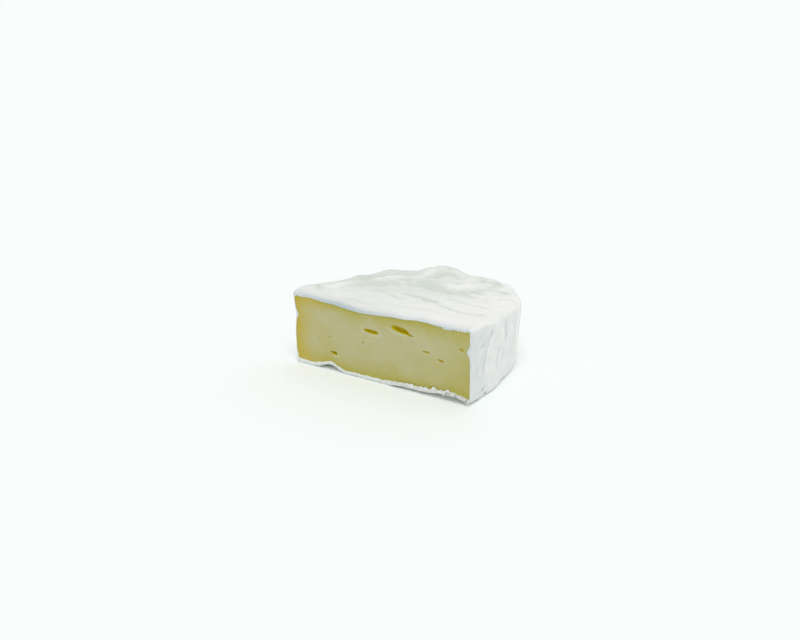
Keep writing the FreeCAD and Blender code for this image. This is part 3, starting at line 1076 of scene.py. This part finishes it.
def makePasteMaterial():
    material, tree, shader = newMaterial("paste", pasteColours["constants"])
    place = addNode(tree, "ShaderNodeTexCoord").outputs["Object"]
    inMillimetres = stretched(tree, place, (1000, 1000, 1000))
    clouds = mottle(tree, stretched(tree, inMillimetres, (0.6, 1.0, 1.0)), 0.11, 4.0)
    grain = mottle(tree, inMillimetres, 1.1, 4.0)
    wander = maths(tree, "MULTIPLY_ADD", clouds.outputs["Mask"], 0.16, -0.08)
    ripeness = maths(tree, "ADD", readLayer(tree, "ripe"), wander, clamp=True)
    ripe = blendOf(tree, readLayer(tree, "gold"), pasteColours["ripe"], pasteColours["gold"])
    colour = blendOf(tree, ripeness, pasteColours["heart"], ripe)
    # painted highlight on the eyes' lower brims
    brimHighlightAmount = maths(tree, "MULTIPLY", readLayer(tree, "brimHighlight"), 0.5)
    colour = blendOf(tree, brimHighlightAmount, colour, pasteColours["brimHighlight"])
    colour = blendOf(tree, readLayer(tree, "pit"), colour, pasteColours["pit"])
    join(tree, colour, shader.inputs["Base Color"])
    roughness = spread(tree, grain.outputs["Mask"], 0.0, 1.0, *pasteColours["roughness"])
    join(tree, roughness, shader.inputs["Roughness"])
    bump = bumpOf(tree, grain.outputs["Height"], *pasteColours["bump"])
    join(tree, bump.outputs[0], shader.inputs["Normal"])
    return material


softMottle = makeMottle()
rindMaterial = makeRindMaterial()
pasteMaterial = makePasteMaterial()
makeRind()
makePaste()
makeFringe()
makeCrumbs()


studio = {
    "floor": {"Base Color": shade(251, 255, 254), "Roughness": 0.9, "Specular IOR Level": 0.0},
    "floorReach": 6.0,
    "room": 0.74,
    "key": 0.85,
    "keyAngle": 28.0,
    "keyFrom": (0.25, -0.35, 0.90),
    "lens": 49.5,
    "sensor": 36.0,
    "azimuth": 33.98,  # degrees from straight on, to the right
    "elevation": 19.26,
    "distance": 0.5429,  # metres
    "target": (0.0033, -0.0280, 0.0297),
}


def makeFloor():
    mesh = bpy.data.meshes.new("floor")
    side = studio["floorReach"]
    corners = [(-side, -side, 0.0), (side, -side, 0.0), (side, side, 0.0), (-side, side, 0.0)]
    mesh.from_pydata(corners, [], [(0, 1, 2, 3)])
    material, tree, shader = newMaterial("floor", studio["floor"])
    mesh.materials.append(material)
    floor = bpy.data.objects.new("floor", mesh)
    bpy.context.scene.collection.objects.link(floor)


def makeWorld():
    # the room's light for everything, and plain white where the camera or a reflection looks
    world = bpy.data.worlds.new("room")
    bpy.context.scene.world = world
    world.use_nodes = True
    tree = world.node_tree
    tree.nodes.clear()
    path = addNode(tree, "ShaderNodeLightPath")
    seen = maths(tree, "ADD", path.outputs["Is Camera Ray"], path.outputs["Is Glossy Ray"])
    seen = maths(tree, "ADD", seen, path.outputs["Is Transmission Ray"], clamp=True)
    mix = addNode(tree, "ShaderNodeMixShader")
    join(tree, seen, mix.inputs[0])
    for number, strength in ((1, studio["room"]), (2, 1.0)):
        white = addNode(tree, "ShaderNodeBackground", Color=(1.0, 1.0, 1.0, 1.0), Strength=strength)
        join(tree, white.outputs[0], mix.inputs[number])
    out = addNode(tree, "ShaderNodeOutputWorld")
    join(tree, mix.outputs[0], out.inputs[0])


def makeKey():
    # a wide soft sun, the same over the whole floor
    lamp = bpy.data.lights.new("key", "SUN")
    lamp.energy = studio["key"]
    lamp.angle = math.radians(studio["keyAngle"])
    key = bpy.data.objects.new("key", lamp)
    key.rotation_euler = (-Vector(studio["keyFrom"])).to_track_quat("-Z", "Y").to_euler()
    bpy.context.scene.collection.objects.link(key)


def makeCamera():
    lens = bpy.data.cameras.new("camera")
    lens.lens = studio["lens"]
    lens.sensor_width = studio["sensor"]
    camera = bpy.data.objects.new("camera", lens)
    azimuth, elevation = math.radians(studio["azimuth"]), math.radians(studio["elevation"])
    # a step away from the target: the sine of the elevation up, its cosine over the floor
    flat = math.cos(elevation)
    away = Vector((math.sin(azimuth) * flat, -math.cos(azimuth) * flat, math.sin(elevation)))
    camera.location = Vector(studio["target"]) + away * studio["distance"]
    camera.rotation_euler = (-away).to_track_quat("-Z", "Y").to_euler()
    bpy.context.scene.collection.objects.link(camera)
    bpy.context.scene.camera = camera


makeFloor()
makeWorld()
makeKey()
makeCamera()
bpy.context.scene.view_settings.view_transform = "Standard"
print("floor, light and camera placed")
